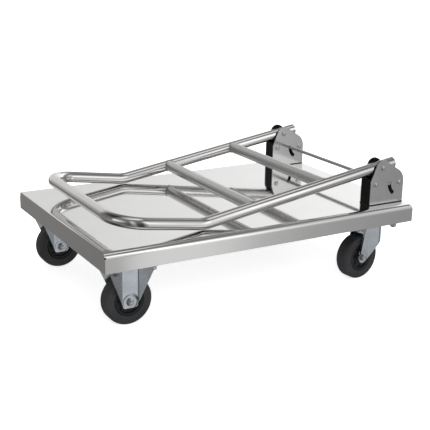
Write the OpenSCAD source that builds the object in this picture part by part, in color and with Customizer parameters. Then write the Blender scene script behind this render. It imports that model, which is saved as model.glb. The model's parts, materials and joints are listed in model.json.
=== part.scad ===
// Folding platform cart: a sheet metal deck on two fixed and two swivel casters, with a bent tube
// handle that folds down over the deck and is released by a foot bar between its two hinges.
// Millimetres. X runs along the deck towards the hinges, Y across it, Z up from the floor.
// Left and right are those of a person pushing from the hinge end, so left is -Y.

/* [Deck] */
// Length of the deck
deck_l = 740; // [720:10:820]
// Width of the deck
deck_w = 480; // [480:10:560]
// Height of the deck's top face above the floor
deck_top = 170; // [166:1:176]
// Depth of the folded skirt around the deck
skirt_h = 40; // [36:1:46]
// Thickness of the deck sheet
sheet = 2; // [1.2:0.1:2.5]
// Outer radius of the soft folds on the long edges and the hinge end
fold_r = 12; // [6:1:16]
// Outer radius of the tight fold on the front end
tight_fold_r = 3; // [2.6:0.1:5]
// Diameter of the relief hole at each front corner
relief_d = 4; // [2:0.5:5]

/* [Handle] */
// Diameter of the handle tube and its rungs
tube_d = 25; // [25:25]
// Wall thickness of the tubes
tube_wall = 1.5; // [1:0.1:2]
// Distance of each handle leg from the centre of the cart
handle_half = 194; // [190:1:194]
// Length of the straight leg, from the pivot to the bend
leg_len = 429.3; // [425:0.1:431]
// Length of the loop, from the bend to the middle of the grip bar
loop_len = 175; // [150:0.5:180]
// Radius of the bend between the legs and the loop
elbow_r = 87; // [60:1:100]
// Radius of the loop's two corners
corner_r = 60; // [50:1:80]
// Slope of the folded legs below the horizontal
fold_tilt = 9; // [8.8:0.1:9.4]
// Distance of the first rung from the pivot
rung_1 = 145; // [120:1:200]
// Distance of the second rung from the pivot
rung_2 = 322; // [260:1:360]

/* [Hinges] */
// Distance from the middle of the deck to the pivot
pivot_x = 301.2; // [295:0.1:302]
// Height of the pivot above the deck
pivot_up = 81.5; // [80:0.1:83]
// Overall width of one hinge bracket
bracket_w = 34.4; // [34.4:0.1:35]
// Thickness of the bracket plates
plate_t = 2; // [1.5:0.1:2]
// Diameter of the foot bar that releases the handle
bar_d = 8; // [7:0.5:8]
// Distance of the foot bar from the lever pins
lever_r = 26.8; // [26.8:0.1:28]
// Travel of the foot bar, in degrees
bar_travel = 50; // [40:1:50]

/* [Casters] */
// Diameter of the wheels
wheel_d = 100; // [96:1:102]
// Width of the tyres
tyre_w = 32; // [28:1:32]
// Distance of the fixed casters from the middle of the deck
fixed_x = 302.7; // [290:0.1:310]
// Distance of the swivel axes from the middle of the deck
swivel_x = 290; // [280:1:300]
// Distance of the casters from the centre of the cart
caster_y = 184.3; // [175:0.1:186]
// How far a swivel wheel trails behind its swivel axis
trail = 28.5; // [26:0.5:30]
// Turn of the left swivel caster, in degrees
left_turn = 7; // [0:1:30]
// Turn of the right swivel caster, in degrees
right_turn = 0; // [0:1:30]
// Side of the square caster plates
caster_plate = 100; // [96:1:104]
// Hole spacing of the caster plates
bolt_pitch = 80; // [76:1:82]

/* [Hidden] */
$fn = 64;

left = -1;
right = 1;
fit = 0.05;            // running clearance on a radius
gap = 0.3;             // clearance between parts that pass each other

deck_under = deck_top - sheet;
skirt_bottom = deck_top - skirt_h;

// hinge
pivot_z = deck_top + pivot_up;
gasket_t = 1.6;
plate_out = bracket_w / 2;              // outer face of a bracket plate, from its middle
plate_in = plate_out - plate_t;
cheek_in = tube_d / 2 + gap;            // inner face of an insert cheek
cheek_out = plate_in - 0.1;
bracket_back = pivot_x - 30.7;          // edge towards the front of the cart
bracket_front = pivot_x + 60.8;         // edge towards the hinge end
bracket_base = deck_top + gasket_t;
web_t = 5.5;
web_top = deck_top + 60;
crown_r = 18;                           // rounding of the bracket above the pivot
shoulder_r = 32;                        // rounding of the bracket's other shoulder
shoulder = [bracket_front - shoulder_r, deck_top + 47];
pivot = [pivot_x, pivot_z];
stop_pin = [pivot_x - 17.7, deck_top + 45.8];
lever_pin = [pivot_x + 47.9, deck_top + 45.1];
bar = lever_pin - [lever_r, 0];
pivot_d = 10;
pin_d = 8;
stop_d = 9;
bush_d = 14;
rivet_head = [12.6, 3.2];               // diameter and height
sweep_r = norm(bar - pivot) - bar_d / 2 - gap;  // the tail swings past the foot bar inside this
bracket_bolt_x = [bracket_back + 19.5, bracket_back + 55.5];

// handle
tail_len = sqrt(pow(sweep_r, 2) - pow(tube_d / 2, 2)) - 0.8;
tube_bore = tube_d - 2 * tube_wall;
elbow_angle = 17.458;   // bend between the legs and the loop

// casters
plate_h = 3;
axle_z = wheel_d / 2;
plate_z = skirt_bottom - plate_h;       // underside of a caster plate
leg_t = 2.6;
leg_out = 21;                           // outer face of a fork leg, from the middle of the wheel
leg_in = leg_out - leg_t;
boss_in = leg_in - 1;                   // face that clamps the axle sleeve
crown_z = plate_z - 5;                  // top of a swivel fork's crown
crown_t = 3;
nose_x = 16.5;                          // centre of the fork's round nose, from the swivel axis
fork_lean = 39.5;                       // slope of a swivel fork's lower edge
fork_reach = 72;
upper_ball = [15.5, plate_z - 2.5, 3];  // pitch radius, height and ball radius
lower_ball = [11, crown_z - crown_t - 2, 2.2];
cup_top = crown_z - crown_t - 4;
cup_t = 2.5;
kingpin_d = 10;
axle_d = 8;
sleeve_d = 12;
hub_r = 30;
channel_half = 52;
channel_t = 3;
channel_end = deck_w / 2 - 4;
m8 = [13, 5.3, 6.5];                    // width across flats, head height and nut height

steel = "silver";
zinc = "lightsteelblue";
rubber = "#2b2b2e";
plastic = "#151515";

// ---- helpers ----

// Extrudes an outline drawn in X and Z from y0 to y1.
module slab(y0, y1) {
    translate([0, y1, 0]) rotate([90, 0, 0]) linear_extrude(height = y1 - y0) children();
}

// A cylinder along Y from y0 to y1.
module bar_y(p, d, y0, y1) {
    translate([p[0], y1, p[1]]) rotate([90, 0, 0]) cylinder(d = d, h = y1 - y0);
}

// A hexagonal prism standing on z.
module hex(flats, z, h) {
    translate([0, 0, z]) rotate(30) cylinder(d = flats / cos(30), h = h, $fn = 6);
}

// A ring of circular section around Z.
module torus(pitch_r, z, r) {
    translate([0, 0, z]) rotate_extrude() translate([pitch_r, 0]) circle(r = r, $fn = 32);
}

function arc(c, r, a0, a1, n) =
    [for (i = [0:n]) c + r * [cos(a0 + (a1 - a0) * i / n), sin(a0 + (a1 - a0) * i / n)]];
function heading(v) = atan2(v[1], v[0]);
function unit(v) = v / norm(v);

module at_hinges() {
    for (side = [left, right]) translate([0, side * handle_half, 0]) children();
}

// ---- deck ----

// Side view of the tray: a soft fold at the hinge end and a tight fold at the front end.
module tray_side(inset) {
    r1 = tight_fold_r - inset;
    r2 = fold_r - inset;
    half = deck_l / 2 - inset;
    top = deck_top - inset;
    translate([-half, skirt_bottom]) square([2 * half, skirt_h - inset - r2]);
    translate([-half, top - r2]) square([2 * half - r2, r2 - r1]);
    translate([-half + r1, top - r1]) square([2 * half - r1 - r2, r1]);
    translate([-half + r1, top - r1]) circle(r = r1);
    translate([half - r2, top - r2]) circle(r = r2);
}

// End view of the tray: soft folds along both long edges.
module tray_end(inset) {
    r = fold_r - inset;
    half = deck_w / 2 - inset;
    translate([-half, skirt_bottom]) square([2 * half, skirt_h - inset - r]);
    translate([-half + r, skirt_bottom]) square([2 * (half - r), skirt_h - inset]);
    for (s = [-1, 1]) translate([s * (half - r), deck_top - inset - r]) circle(r = r);
}

module tray_block(inset) {
    intersection() {
        slab(-deck_w / 2, deck_w / 2) tray_side(inset);
        translate([-deck_l / 2, 0, 0]) rotate([90, 0, 90]) linear_extrude(height = deck_l) tray_end(inset);
    }
}

module deck_tray() {
    color(steel) difference() {
        tray_block(0);
        tray_block(sheet);
        translate([0, 0, skirt_bottom - 1]) linear_extrude(height = 1)
            square([deck_l, deck_w], center = true);
        for (s = [-1, 1]) translate([-deck_l / 2 - 1, s * (deck_w / 2 - relief_d), deck_top - 8])
            rotate([0, 90, 0]) cylinder(d = relief_d, h = sheet + 2);
        at_hinges() for (x = bracket_bolt_x)
            translate([x, 0, deck_under - 1]) cylinder(d = 8.4, h = sheet + 2);
    }
}

// A cross channel welded under the deck, open towards it, its ends cut to clear the deck's folds.
module channel(x, half, bottom) {
    cut = fold_r - sheet;
    difference() {
        translate([x - half, -channel_end, bottom]) cube([2 * half, 2 * channel_end, deck_under - bottom]);
        translate([x - half + channel_t, -channel_end - 1, bottom + channel_t])
            cube([2 * (half - channel_t), 2 * channel_end + 2, deck_under - bottom]);
        for (m = [0, 1]) mirror([0, m, 0]) translate([x, channel_end, deck_under]) rotate([45, 0, 0])
            cube([2 * half + 2, 2 * cut, sqrt(2) * cut], center = true);
        children();
    }
}

module caster_holes(x) {
    for (s = [-1, 1], i = [-1, 1], j = [-1, 1])
        translate([x + i * bolt_pitch / 2, s * caster_y + j * bolt_pitch / 2, plate_z - 1])
            cylinder(d = 8.4, h = plate_h + channel_t + 2);
}

module front_channel() {
    color(steel) channel(-fixed_x, channel_half, skirt_bottom) caster_holes(-fixed_x);
}

module middle_channel() {
    color(steel) channel(0, 30, skirt_bottom + 10);
}

module rear_channel() {
    color(steel) channel(swivel_x, channel_half, skirt_bottom) {
        caster_holes(swivel_x);
        for (s = [-1, 1]) translate([swivel_x, s * caster_y, skirt_bottom - 1])
            cylinder(d = 26, h = channel_t + 2);
    }
}

// ---- hinge brackets ----

// Outline of a bracket plate, drawn in X and Z above its base.
module bracket_outline(bottom) {
    back = [bracket_back, deck_top + 54];
    a_back = heading(back - pivot) - acos(crown_r / norm(back - pivot)) + 360;
    a_slope = heading(shoulder - pivot) + acos((crown_r - shoulder_r) / norm(shoulder - pivot));
    polygon(concat(
        [[bracket_front, bottom], [bracket_back, bottom], back],
        arc(pivot, crown_r, a_back, a_slope, 12),
        arc(shoulder, shoulder_r, a_slope, 0, 8)));
}

// The curved slot that guides the foot bar round the lever pin.
module bar_slot(y0, y1) {
    w = bar_d + 1;
    p = [for (a = [0, -bar_travel]) lever_pin - lever_r * [cos(a), sin(-a)]];
    for (q = p) bar_y(q, w, y0, y1);
    translate([lever_pin[0], y1, lever_pin[1]]) rotate([90, 0, 0])
        rotate([0, 0, 180]) rotate_extrude(angle = bar_travel)
            translate([lever_r - w / 2, 0]) square([w, y1 - y0]);
}

module bracket_bores(extra) {
    wide = bracket_w / 2 + 1;
    bar_y(pivot, pivot_d + 2 * fit + extra, -wide, wide);
    bar_y(stop_pin, stop_d + 2 * fit + extra, -wide, wide);
    bar_y(lever_pin, pin_d + 2 * fit + extra, -wide, wide);
    bar_slot(-wide, wide);
}

module hinge_bracket(side) {
    base_x = bracket_back + web_t;
    color(steel) translate([0, side * handle_half, 0]) difference() {
        union() {
            for (y = [-plate_out, plate_in]) slab(y, y + plate_t) bracket_outline(bracket_base);
            translate([base_x, -plate_out, bracket_base])
                cube([bracket_front - base_x, bracket_w, plate_t]);
        }
        bracket_bores(0);
        for (x = bracket_bolt_x) translate([x, 0, bracket_base - 1]) cylinder(d = 8.4, h = plate_t + 2);
    }
}

module hinge_insert(side) {
    floor_z = bracket_base + plate_t;
    base_x = bracket_back + web_t;
    color(plastic) translate([0, side * handle_half, 0]) difference() {
        union() {
            for (y = [-cheek_out, cheek_in]) slab(y, y + cheek_out - cheek_in)
                bracket_outline(floor_z + 0.1);
            slab(-cheek_out, cheek_out) polygon([[bracket_back, bracket_base], [base_x - 0.1, bracket_base],
                [base_x - 0.1, web_top - 2], [bracket_back, web_top]]);
            translate([base_x - 1, -cheek_out, floor_z + 0.1])
                cube([bracket_front - base_x + 1, 2 * cheek_out, 3]);
        }
        bracket_bores(0.1);
        for (x = bracket_bolt_x) translate([x, 0, floor_z]) cylinder(d = 18, h = 4);
    }
}

module gasket(side) {
    color(plastic) translate([0, side * handle_half, 0]) difference() {
        translate([bracket_back - 0.6, -plate_out - 0.6, deck_top])
            cube([bracket_front - bracket_back + 1.2, bracket_w + 1.2, gasket_t]);
        for (x = bracket_bolt_x) translate([x, 0, deck_top - 1]) cylinder(d = 8.4, h = gasket_t + 2);
    }
}

module bracket_bolts() {
    color(zinc) at_hinges() for (x = bracket_bolt_x) translate([x, 0, 0]) {
        translate([0, 0, deck_under - 9]) cylinder(d = 8, h = bracket_base + plate_t - deck_under + 9);
        hex(m8[0], bracket_base + plate_t, m8[1]);
    }
}

module bracket_nuts() {
    color(zinc) at_hinges() for (x = bracket_bolt_x) translate([x, 0, 0]) difference() {
        hex(m8[0], deck_under - m8[2], m8[2]);
        translate([0, 0, deck_under - m8[2] - 1]) cylinder(d = 8 + 2 * fit, h = m8[2] + 2);
    }
}

// A rivet along Y through one bracket, with a low domed head on each side.
module rivet(p, d) {
    bar_y(p, d, -plate_out, plate_out);
    dome_r = (pow(rivet_head[0] / 2, 2) + pow(rivet_head[1], 2)) / (2 * rivet_head[1]);
    for (s = [-1, 1]) translate([p[0], s * plate_out, p[1]]) rotate([-90 * s, 0, 0]) intersection() {
        translate([0, 0, rivet_head[1] - dome_r]) sphere(r = dome_r);
        cylinder(d = rivet_head[0] + 1, h = rivet_head[1] + 1);
    }
}

module pivot_pins() { color(steel) at_hinges() rivet(pivot, pivot_d); }
module stop_pins() { color(steel) at_hinges() rivet(stop_pin, stop_d); }
module lever_pins() { color(steel) at_hinges() rivet(lever_pin, pin_d); }

// ---- handle ----

// The handle is drawn with its pivot at the origin and its legs along -X, then tilted down.
module folded() {
    translate([pivot_x, 0, pivot_z]) rotate([0, -fold_tilt, 0]) children();
}

// Part of a ring of tube: it starts at the origin towards -X and turns towards +Y.
module tube_bend(r, angle, d) {
    mirror([1, 0, 0]) translate([0, r, 0]) rotate([0, 0, -90]) rotate_extrude(angle = angle)
        translate([r, 0]) circle(d = d);
}

module tube_x(d, x0, x1) {
    translate([x0, 0, 0]) rotate([0, 90, 0]) cylinder(d = d, h = x1 - x0);
}

// Moves to the far side of the elbow, with the loop along -X.
module past_elbow() {
    translate([-leg_len, 0, elbow_r]) rotate([0, elbow_angle, 0]) translate([0, 0, -elbow_r]) children();
}

// One half of the handle tube, on the -Y side, from the tail to the middle of the grip bar.
module half_tube(d, tail) {
    translate([0, -handle_half, 0]) {
        tube_x(d, -leg_len, tail);
        intersection() {
            translate([-leg_len, 0, 0]) rotate([90, 0, 0]) tube_bend(elbow_r, elbow_angle + 3, d);
            past_elbow() translate([0, -d, -d]) cube([elbow_r, 2 * d, 2 * d]);
        }
        past_elbow() {
            tube_x(d, corner_r - loop_len, 0);
            translate([corner_r - loop_len, 0, 0]) tube_bend(corner_r, 90, d);
            translate([-loop_len, corner_r, 0]) rotate([-90, 0, 0]) cylinder(d = d, h = handle_half - corner_r);
        }
    }
}

module whole_tube(d, tail) {
    half_tube(d, tail);
    mirror([0, 1, 0]) half_tube(d, tail);
}

module handle_tube() {
    color(steel) folded() difference() {
        whole_tube(tube_d, tail_len);
        whole_tube(tube_bore, tail_len + 1);
        bar_y([0, 0], bush_d, -handle_half - tube_d, handle_half + tube_d);
    }
}

// A rung between the legs, with its ends shaped to the round of the tube.
module rung(distance) {
    color("gainsboro") folded() difference() {
        bar_y([-distance, 0], tube_d, -handle_half, handle_half);
        bar_y([-distance, 0], tube_bore, -handle_half - 1, handle_half + 1);
        for (s = [-1, 1]) translate([0, s * handle_half, 0]) tube_x(tube_d, -distance - 40, 40 - distance);
    }
}

module upper_rung() { rung(rung_2); }
module lower_rung() { rung(rung_1); }

// The plug in the end of a leg: its domed face stays inside the swing past the foot bar.
module tail_plug(side) {
    color(plastic) folded() translate([0, side * handle_half, 0]) {
        rotate([0, 90, 0]) rotate_extrude() intersection() {
            circle(r = sweep_r, $fn = 256);
            translate([0, tail_len]) square([tube_d / 2, tube_d]);
        }
        tube_x(tube_bore, tail_len - 12, tail_len);
    }
}

module pivot_bush(side) {
    color(plastic) folded() translate([0, side * handle_half, 0]) difference() {
        bar_y([0, 0], bush_d, -cheek_in + 0.1, cheek_in - 0.1);
        bar_y([0, 0], pivot_d + 2 * fit, -cheek_in, cheek_in);
    }
}

// ---- foot release ----

module release_bar() {
    reach = handle_half + plate_out;
    color(steel) {
        bar_y(bar, bar_d, 1 - reach, reach - 1);
        for (s = [-1, 1]) translate([bar[0], s * (reach - 1), bar[1]]) rotate([-90 * s, 0, 0])
            cylinder(d1 = bar_d, d2 = bar_d - 2, h = 1);
    }
}

lever_half = 3;

// The lever carries the foot bar round the lever pin, and is cut back to let the tail swing past.
module latch_lever(side) {
    color(steel) translate([0, side * handle_half, 0]) difference() {
        slab(-lever_half, lever_half) {
            translate(lever_pin) circle(r = 7.5);
            translate(bar) circle(r = 7);
            polygon([lever_pin - [0, 7.5], lever_pin + [0, 7.5], bar + [0, 7], bar - [0, 7]]);
        }
        bar_y(lever_pin, pin_d + 2 * fit, -5, 5);
        bar_y(bar, bar_d, -5, 5);
        bar_y(pivot, 2 * sweep_r + 2 * gap, -5, 5);
    }
}

spring_wire_r = 0.7;
spring_r = 5.6;
spring_turns = 3;
spring_steps = 16;
spring_y0 = lever_half + 1.4;
spring_pitch = 1.6;

// The route of a torsion spring: a leg on the insert's floor, the coil, and a leg under the bar.
function spring_route() = concat(
    [[lever_pin[0] + spring_r, spring_y0, bracket_base + plate_t + 4.2]],
    [for (i = [0:spring_turns * spring_steps + spring_steps * 3 / 4])
        let (a = 360 * i / spring_steps)
        [lever_pin[0] + spring_r * cos(a), spring_y0 + spring_pitch * a / 360, lever_pin[1] + spring_r * sin(a)]],
    [[bar[0] - 3, spring_y0 + spring_pitch * (spring_turns + 0.75), lever_pin[1] - spring_r]]);

function wire_ring(p, t, r, sides) =
    let (s = unit(cross(t, [0, 1, 0])), u = cross(s, t))
    [for (k = [0:sides - 1]) p + r * (cos(360 * k / sides) * s + sin(360 * k / sides) * u)];

// Sweeps a round wire along a route.
module wire(route, r, sides) {
    n = len(route);
    points = [for (i = [0:n - 1])
        each wire_ring(route[i], unit(route[min(i + 1, n - 1)] - route[max(i - 1, 0)]), r, sides)];
    walls = [for (i = [0:n - 2], k = [0:sides - 1])
        let (a = i * sides + k, b = i * sides + (k + 1) % sides) [a, b, b + sides, a + sides]];
    first = [for (k = [0:sides - 1]) sides - 1 - k];
    last = [for (k = [0:sides - 1]) (n - 1) * sides + k];
    polyhedron(points = points, faces = concat([first, last], walls));
}

module latch_spring(side) {
    color("dimgray") translate([0, side * handle_half, 0]) wire(spring_route(), spring_wire_r, 8);
}

// ---- casters ----

module at_casters(x) {
    for (s = [left, right]) translate([x, s * caster_y, 0]) children();
}

module at_plate_bolts() {
    for (x = [-fixed_x, swivel_x]) at_casters(x) for (i = [-1, 1], j = [-1, 1])
        translate([i * bolt_pitch / 2, j * bolt_pitch / 2, 0]) children();
}

washer_t = 1.6;

module caster_bolts() {
    shank = skirt_bottom + channel_t - plate_z + washer_t + m8[2] + 2;
    color(zinc) at_plate_bolts() {
        hex(m8[0], skirt_bottom + channel_t, m8[1]);
        translate([0, 0, skirt_bottom + channel_t - shank]) cylinder(d = 8, h = shank);
    }
}

module caster_washers() {
    color(zinc) at_plate_bolts() translate([0, 0, plate_z - washer_t]) difference() {
        cylinder(d = 16, h = washer_t);
        translate([0, 0, -1]) cylinder(d = 8.4, h = washer_t + 2);
    }
}

module caster_nuts() {
    z = plate_z - washer_t - m8[2];
    color(zinc) at_plate_bolts() difference() {
        hex(m8[0], z, m8[2]);
        translate([0, 0, z - 1]) cylinder(d = 8 + 2 * fit, h = m8[2] + 2);
    }
}

module plate_blank() {
    difference() {
        translate([-caster_plate / 2, -caster_plate / 2, plate_z]) cube([caster_plate, caster_plate, plate_h]);
        for (i = [-1, 1], j = [-1, 1])
            translate([i * bolt_pitch / 2, j * bolt_pitch / 2, plate_z - 1]) cylinder(d = 8.4, h = plate_h + 2);
    }
}

axle = [0, axle_z];

// Thickens the leg on the inside around the axle, where it clamps the sleeve.
module axle_bosses(r) {
    bar_y(axle, 2 * r, boss_in, leg_in + 0.5);
    bar_y(axle, 2 * r, -leg_in - 0.5, -boss_in);
}

wing_angle = 23;
wing_len = 36;
panel_half = 17;

// One side of a fixed fork's leg: a flat panel with a wing that flares out beside it.
module fixed_leg() {
    foot_r = 8;
    foot = [panel_half - foot_r, axle_z - 4.5];
    slab(-leg_out, -leg_in)
        polygon(concat(arc([-foot[0], foot[1]], foot_r, 180, 270, 8), arc(foot, foot_r, 270, 360, 8),
            [[panel_half, plate_z], [-panel_half, plate_z]]));
    for (m = [0, 1]) mirror([m, 0, 0]) translate([panel_half, -leg_out, 0]) rotate([0, 0, -wing_angle])
        slab(0, leg_t) polygon([[-2, axle_z - 4], [0.5, axle_z - 3], [wing_len, plate_z], [-2, plate_z]]);
}

module fixed_fork(side) {
    color(zinc) translate([-fixed_x, side * caster_y, 0]) difference() {
        union() {
            plate_blank();
            fixed_leg();
            mirror([0, 1, 0]) fixed_leg();
            axle_bosses(12);
        }
        for (m = [0, 1]) mirror([0, m, 0]) bar_y(axle, 32, leg_out - 1, leg_out + 4);
        bar_y(axle, axle_d + 2 * fit, -leg_out - 1, leg_out + 1);
    }
}

// An axle bolt with its head on the side given by s, and a flanged nut on the other side.
module axle_bolt(s, face) {
    mirror([0, (1 - s) / 2, 0]) {
        bar_y(axle, axle_d, -face - 7, face);
        translate([0, face, axle_z]) rotate([-90, 0, 0]) hex(m8[0], 0, m8[1]);
    }
}

module axle_nut(s, face) {
    mirror([0, (1 - s) / 2, 0]) difference() {
        translate([0, face, axle_z]) rotate([-90, 0, 0]) {
            cylinder(d = 17, h = 1.4);
            hex(m8[0], 1, 4);
        }
        bar_y(axle, axle_d + 2 * fit, face - 1, face + 8);
    }
}

module axle_sleeve() {
    difference() {
        bar_y(axle, sleeve_d, -boss_in, boss_in);
        bar_y(axle, axle_d + 2 * fit, -boss_in - 1, boss_in + 1);
    }
}

module fixed_axle_bolts() { color(zinc) at_casters(-fixed_x) axle_bolt(right, leg_out - 1); }
module fixed_axle_nuts() { color(zinc) at_casters(-fixed_x) axle_nut(left, leg_out - 1); }
module fixed_axle_sleeves() { color(zinc) at_casters(-fixed_x) axle_sleeve(); }

module swivel_plate(side) {
    color(zinc) translate([swivel_x, side * caster_y, 0]) difference() {
        plate_blank();
        translate([0, 0, plate_z - 1]) cylinder(d = kingpin_d + 2 * fit, h = plate_h + 2);
        torus(upper_ball[0], upper_ball[1], upper_ball[2] + fit);
    }
}

module swivel_kingpins() {
    top = skirt_bottom;
    bottom = cup_top - cup_t;
    color(zinc) at_casters(swivel_x) {
        translate([0, 0, bottom - 3]) cylinder(d1 = 14, d2 = 17, h = 3);
        translate([0, 0, bottom - 1]) cylinder(d = kingpin_d, h = top - bottom + 2);
        translate([0, 0, top]) cylinder(d1 = 19, d2 = 15, h = 3);
    }
}

module swivel_race_cups() {
    color(zinc) at_casters(swivel_x) difference() {
        translate([0, 0, cup_top - cup_t]) cylinder(d = 30, h = cup_t);
        translate([0, 0, cup_top - cup_t - 1]) cylinder(d = kingpin_d + 2 * fit, h = cup_t + 2);
        torus(lower_ball[0], lower_ball[1], lower_ball[2] + fit);
    }
}

module race_balls(race, count) {
    color("gray") at_casters(swivel_x) for (i = [0:count - 1]) rotate(360 * i / count)
        translate([race[0], 0, race[1]]) sphere(r = race[2], $fn = 24);
}

module upper_race_balls() { race_balls(upper_ball, 14); }
module lower_race_balls() { race_balls(lower_ball, 12); }

// Places a swivel caster's parts: the swivel axis is at the origin, and the wheel trails towards -X.
module swivelled(side) {
    turn = side == left ? left_turn : right_turn;
    translate([swivel_x, side * caster_y, 0]) rotate(turn) children();
}

module trailing(side) {
    swivelled(side) translate([-trail, 0, 0]) children();
}

// Plan view of a swivel fork: straight sides behind a round nose.
module fork_plan(inset) {
    r = leg_out - inset;
    translate([nose_x, 0]) circle(r = r);
    translate([-60, -r]) square([60 + nose_x, 2 * r]);
}

// Side view of a swivel fork, with the axle at the origin.
module fork_side() {
    foot_r = 12;
    back = [2, crown_z - axle_z];
    a_back = heading(back) + acos(foot_r / norm(back));
    toe = foot_r * [sin(fork_lean), -cos(fork_lean)];
    rise = toe[1] + (fork_reach - toe[0]) * tan(fork_lean);
    polygon(concat(arc([0, 0], foot_r, a_back, 270 + fork_lean, 14),
        [[fork_reach, rise], [fork_reach, back[1]], back]));
}

module swivel_fork(side) {
    color(zinc) swivelled(side) difference() {
        union() {
            intersection() {
                linear_extrude(height = crown_z) difference() {
                    fork_plan(0);
                    fork_plan(leg_t);
                }
                slab(-leg_out - 1, leg_out + 1) translate([-trail, axle_z]) fork_side();
            }
            intersection() {
                translate([0, 0, crown_z - crown_t]) linear_extrude(height = crown_t) fork_plan(0);
                slab(-leg_out - 1, leg_out + 1) translate([-trail, axle_z]) fork_side();
            }
            translate([-trail, 0, 0]) axle_bosses(11);
        }
        translate([0, 0, crown_z - crown_t - 1]) cylinder(d = kingpin_d + 0.2, h = crown_t + 2);
        torus(upper_ball[0], upper_ball[1], upper_ball[2] + fit);
        torus(lower_ball[0], lower_ball[1], lower_ball[2] + fit);
        translate([-trail, 0, 0]) bar_y(axle, axle_d + 2 * fit, -leg_out - 1, leg_out + 1);
    }
}

module swivel_axle_bolt(side) { color(zinc) trailing(side) axle_bolt(left, leg_out); }
module swivel_axle_nut(side) { color(zinc) trailing(side) axle_nut(right, leg_out); }
module swivel_axle_sleeve(side) { color(zinc) trailing(side) axle_sleeve(); }

// ---- wheels ----

// Turns a section drawn as radius and width about the axle.
module turned() {
    translate([0, 0, axle_z]) rotate([90, 0, 0]) rotate_extrude($fn = 96) children();
}

shoulder_tyre_r = 7;
groove_w = 1.8;

module tyre() {
    r = shoulder_tyre_r;
    half = tyre_w / 2;
    color(rubber) turned() difference() {
        union() {
            translate([hub_r, r - half]) square([wheel_d / 2 - hub_r, tyre_w - 2 * r]);
            translate([hub_r, -half]) square([wheel_d / 2 - hub_r - r, tyre_w]);
            for (s = [-1, 1]) translate([wheel_d / 2 - r, s * (half - r)]) circle(r = r, $fn = 48);
        }
        for (s = [-1, 1]) translate([hub_r + groove_w / 2, s * half]) circle(r = groove_w, $fn = 24);
    }
}

module hub() {
    half = tyre_w / 2 - 1.4;
    color("#1f1f20") turned() {
        translate([sleeve_d / 2 + fit, -boss_in + 0.4]) square([6, 2 * boss_in - 0.8]);
        translate([sleeve_d / 2 + 3, -half + 2]) square([hub_r - sleeve_d / 2 - 3, 2 * half - 4]);
        translate([hub_r - 4, -half]) square([4, 2 * half]);
    }
}

module at_fixed_wheel(side) {
    translate([-fixed_x, side * caster_y, 0]) children();
}

deck_tray();
front_channel();
middle_channel();
rear_channel();
hinge_bracket(left);  // left_hinge_bracket
hinge_bracket(right);  // right_hinge_bracket
hinge_insert(left);  // left_hinge_insert
hinge_insert(right);  // right_hinge_insert
gasket(left);  // left_gasket
gasket(right);  // right_gasket
bracket_bolts();
bracket_nuts();
pivot_pins();
stop_pins();
lever_pins();
handle_tube();
upper_rung();
lower_rung();
tail_plug(left);  // left_tail_plug
tail_plug(right);  // right_tail_plug
pivot_bush(left);  // left_pivot_bush
pivot_bush(right);  // right_pivot_bush
release_bar();
latch_lever(left);  // left_latch_lever
latch_lever(right);  // right_latch_lever
latch_spring(left);  // left_latch_spring
latch_spring(right);  // right_latch_spring
caster_bolts();
caster_washers();
caster_nuts();
fixed_fork(left);  // left_fixed_fork
fixed_fork(right);  // right_fixed_fork
fixed_axle_bolts();
fixed_axle_nuts();
fixed_axle_sleeves();
swivel_plate(left);  // left_swivel_plate
swivel_plate(right);  // right_swivel_plate
swivel_kingpins();
swivel_race_cups();
upper_race_balls();
lower_race_balls();
swivel_fork(left);  // left_swivel_fork
swivel_fork(right);  // right_swivel_fork
swivel_axle_bolt(left);  // left_swivel_axle_bolt
swivel_axle_bolt(right);  // right_swivel_axle_bolt
swivel_axle_nut(left);  // left_swivel_axle_nut
swivel_axle_nut(right);  // right_swivel_axle_nut
swivel_axle_sleeve(left);  // left_swivel_axle_sleeve
swivel_axle_sleeve(right);  // right_swivel_axle_sleeve
at_fixed_wheel(left) tyre();  // front_left_tyre
at_fixed_wheel(left) hub();  // front_left_hub
at_fixed_wheel(right) tyre();  // front_right_tyre
at_fixed_wheel(right) hub();  // front_right_hub
trailing(left) tyre();  // rear_left_tyre
trailing(left) hub();  // rear_left_hub
trailing(right) tyre();  // rear_right_tyre
trailing(right) hub();  // rear_right_hub
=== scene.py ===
"""The looks of a folding platform cart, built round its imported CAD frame. Lengths are in millimetres."""
import json
import math

import bmesh
import bpy
from mathutils import Matrix, Vector


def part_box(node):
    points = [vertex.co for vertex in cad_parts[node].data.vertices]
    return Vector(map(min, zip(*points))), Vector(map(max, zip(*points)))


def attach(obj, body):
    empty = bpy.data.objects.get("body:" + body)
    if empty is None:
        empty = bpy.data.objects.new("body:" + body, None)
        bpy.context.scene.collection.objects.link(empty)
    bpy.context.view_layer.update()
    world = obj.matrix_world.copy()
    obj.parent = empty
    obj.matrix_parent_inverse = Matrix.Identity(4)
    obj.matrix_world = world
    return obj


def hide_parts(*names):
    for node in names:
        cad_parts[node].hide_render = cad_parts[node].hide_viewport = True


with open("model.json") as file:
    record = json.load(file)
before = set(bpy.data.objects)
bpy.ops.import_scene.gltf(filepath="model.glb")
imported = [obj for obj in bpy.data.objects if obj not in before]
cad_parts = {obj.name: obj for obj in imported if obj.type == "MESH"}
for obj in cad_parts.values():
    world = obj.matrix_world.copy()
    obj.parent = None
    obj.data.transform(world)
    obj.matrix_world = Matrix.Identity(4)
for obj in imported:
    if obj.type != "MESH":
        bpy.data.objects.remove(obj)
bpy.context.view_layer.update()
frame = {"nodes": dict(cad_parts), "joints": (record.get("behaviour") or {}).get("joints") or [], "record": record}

MM = 0.001
joints = {j["name"]: j for j in frame["joints"]}


# ---- what the CAD says ----

def box(node):
    lo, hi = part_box(node)
    return Vector(lo) / MM, Vector(hi) / MM


def joint_at(name):
    return Vector(joints[name]["pos_m"]) / MM


def centre(node):
    lo, hi = box(node)
    return (lo + hi) / 2


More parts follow.
